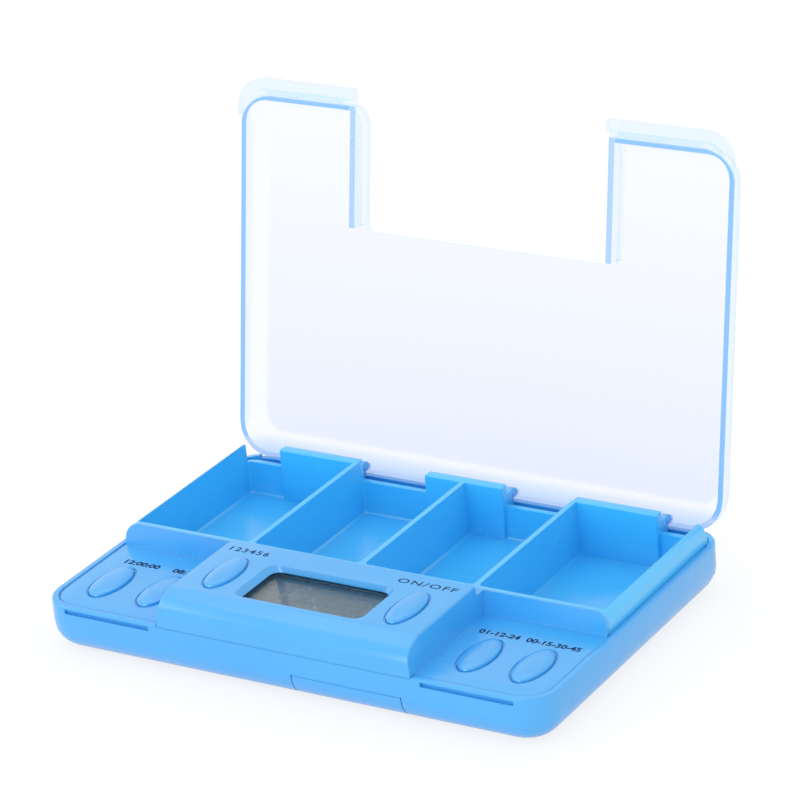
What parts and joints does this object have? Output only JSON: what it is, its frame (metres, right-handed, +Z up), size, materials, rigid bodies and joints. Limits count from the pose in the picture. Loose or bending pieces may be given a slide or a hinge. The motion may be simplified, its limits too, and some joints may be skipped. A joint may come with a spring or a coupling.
{
  "type": "pill box with timer",
  "caption": "Flat pill box with divided tray, raised display console, oval push buttons, battery door and clear notched lid that stands open.",
  "frame": {"origin": "centre of the flat underside that the box stands on", "axes": "+Z up, +X to the right seen from the front, -Y towards the front edge with the battery door"},
  "size_m": [0.112, 0.0924, 0.0897],
  "materials": {
    "blue_plastic": "smooth moulded",
    "button_plastic": "smooth moulded",
    "clear_plastic": "clear, faintly blue",
    "window_plastic": "clear",
    "display_glass": "grey-green display",
    "silicone_rubber": "satin",
    "white_plastic": "moulded",
    "black_plastic": "moulded",
    "circuit_board": "solder mask",
    "steel": "plated",
    "brass": "rolled",
    "ceramic": "fired"
  },
  "bodies": {
    "case": {"base_shell": "blue_plastic", "upper_case": "blue_plastic", "display_window": "window_plastic", "display_glass": "display_glass", "display_holder": "white_plastic", "contact_strip_front": "silicone_rubber", "contact_strip_back": "silicone_rubber", "display_board": "circuit_board", "main_board": "circuit_board", "controller_chip": "black_plastic", "clock_crystal": "steel", "board_link": "black_plastic", "sounder_disc": "brass", "sounder_ceramic": "ceramic", "button_cell_1": "steel", "button_cell_2": "steel", "cell_contact_1": "brass", "cell_contact_2": "brass", "time_key_dome": "steel", "alarm_key_dome": "steel", "memo_key_dome": "steel", "on_off_key_dome": "steel", "hour_key_dome": "steel", "minute_key_dome": "steel", "case_screw_front_left": "steel", "case_screw_front_right": "steel", "case_screw_back_left": "steel", "case_screw_back_right": "steel", "board_screw_left": "steel", "board_screw_right": "steel", "display_screw_left": "steel", "display_screw_right": "steel"},
    "lid": {"lid": "clear_plastic"},
    "battery_door": {"battery_door": "blue_plastic", "cell_bridge": "brass"},
    "time_button": {"time_button": "button_plastic"},
    "alarm_button": {"alarm_button": "button_plastic"},
    "memo_button": {"memo_button": "button_plastic"},
    "on_off_button": {"on_off_button": "button_plastic"},
    "hour_button": {"hour_button": "button_plastic"},
    "minute_button": {"minute_button": "button_plastic"}
  },
  "joints": [
    {"name": "lid_hinge", "type": "hinge", "parent": "case", "child": "lid", "pos_m": [0, 0.03712, 0.01155], "axis": [1, 0, 0], "range_deg": [0, 100.2]},
    {"name": "battery_door_slide", "type": "slide", "parent": "case", "child": "battery_door", "axis": [0, -1, 0], "range_m": [0, 0.02]},
    {"name": "time_press", "type": "slide", "parent": "case", "child": "time_button", "axis": [0, 0, -1], "range_m": [0, 0.0005], "stiffness_N_per_m": 400},
    {"name": "alarm_press", "type": "slide", "parent": "case", "child": "alarm_button", "axis": [0, 0, -1], "range_m": [0, 0.0005], "stiffness_N_per_m": 400},
    {"name": "memo_press", "type": "slide", "parent": "case", "child": "memo_button", "axis": [0, 0, -1], "range_m": [0, 0.0005], "stiffness_N_per_m": 400},
    {"name": "on_off_press", "type": "slide", "parent": "case", "child": "on_off_button", "axis": [0, 0, -1], "range_m": [0, 0.0005], "stiffness_N_per_m": 400},
    {"name": "hour_press", "type": "slide", "parent": "case", "child": "hour_button", "axis": [0, 0, -1], "range_m": [0, 0.0005], "stiffness_N_per_m": 400},
    {"name": "minute_press", "type": "slide", "parent": "case", "child": "minute_button", "axis": [0, 0, -1], "range_m": [0, 0.0005], "stiffness_N_per_m": 400}
  ]
}
